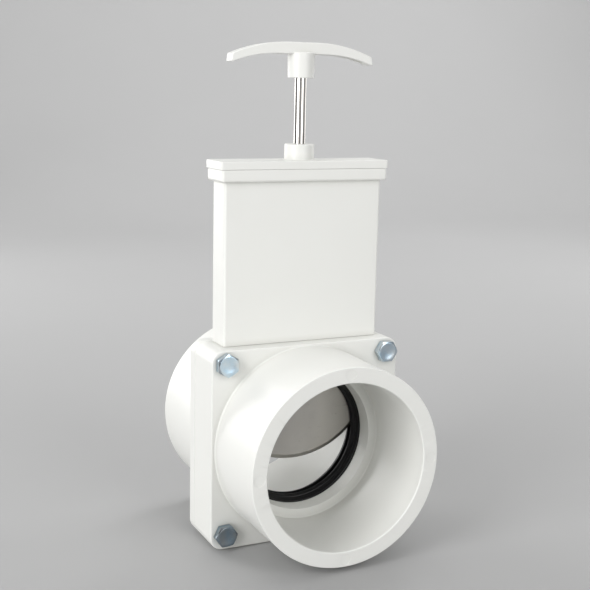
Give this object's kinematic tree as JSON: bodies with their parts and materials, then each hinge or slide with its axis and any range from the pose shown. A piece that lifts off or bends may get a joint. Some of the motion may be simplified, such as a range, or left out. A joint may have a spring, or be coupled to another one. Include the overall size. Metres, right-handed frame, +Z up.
{
  "type": "knife gate valve",
  "caption": "Hand-pulled plastic knife gate valve: a round stem and T-handle lift a stainless plate into a flat bonnet, with a pipe socket on each side and bolted body halves.",
  "frame": {"origin": "bottom centre: on the surface that the body stands on, below the crossing of the pipe axis and the gate's plane", "axes": "+X across the valve to the right seen from the socket that the picture shows, +Y along the pipe away from that socket, +Z up along the stem"},
  "size_m": [0.1104, 0.1328, 0.2688],
  "materials": {
    "white_pvc": "moulded rigid PVC, satin to gloss, faintly warm white",
    "stainless_steel": "stainless: drawn bright bar for the stem, rolled mill finish for the gate",
    "zinc_plated_steel": "bright zinc plate with a bluish tint",
    "black_rubber": "smooth black elastomer",
    "brass": "machined"
  },
  "bodies": {
    "valve_body": {"front_body": "white_pvc", "rear_body": "white_pvc", "front_gate_seal": "black_rubber", "rear_gate_seal": "black_rubber", "body_o_ring": "black_rubber", "bonnet": "white_pvc", "bonnet_cap": "white_pvc", "stem_o_ring_lower": "black_rubber", "stem_o_ring_upper": "black_rubber", "gland_bush": "white_pvc", "bolt_upper_left": "zinc_plated_steel", "nut_upper_left": "zinc_plated_steel", "bolt_upper_right": "zinc_plated_steel", "nut_upper_right": "zinc_plated_steel", "bolt_lower_left": "zinc_plated_steel", "nut_lower_left": "zinc_plated_steel", "bolt_lower_right": "zinc_plated_steel", "nut_lower_right": "zinc_plated_steel"},
    "gate_assembly": {"gate": "stainless_steel", "stem": "stainless_steel", "gate_rivet_upper": "stainless_steel", "gate_rivet_lower": "stainless_steel", "handle": "white_pvc", "handle_insert": "brass"}
  },
  "joints": [
    {"name": "gate_slide", "type": "slide", "parent": "valve_body", "child": "gate_assembly", "axis": [0, 0, 1], "range_m": [-0.0262, 0.0533]}
  ]
}
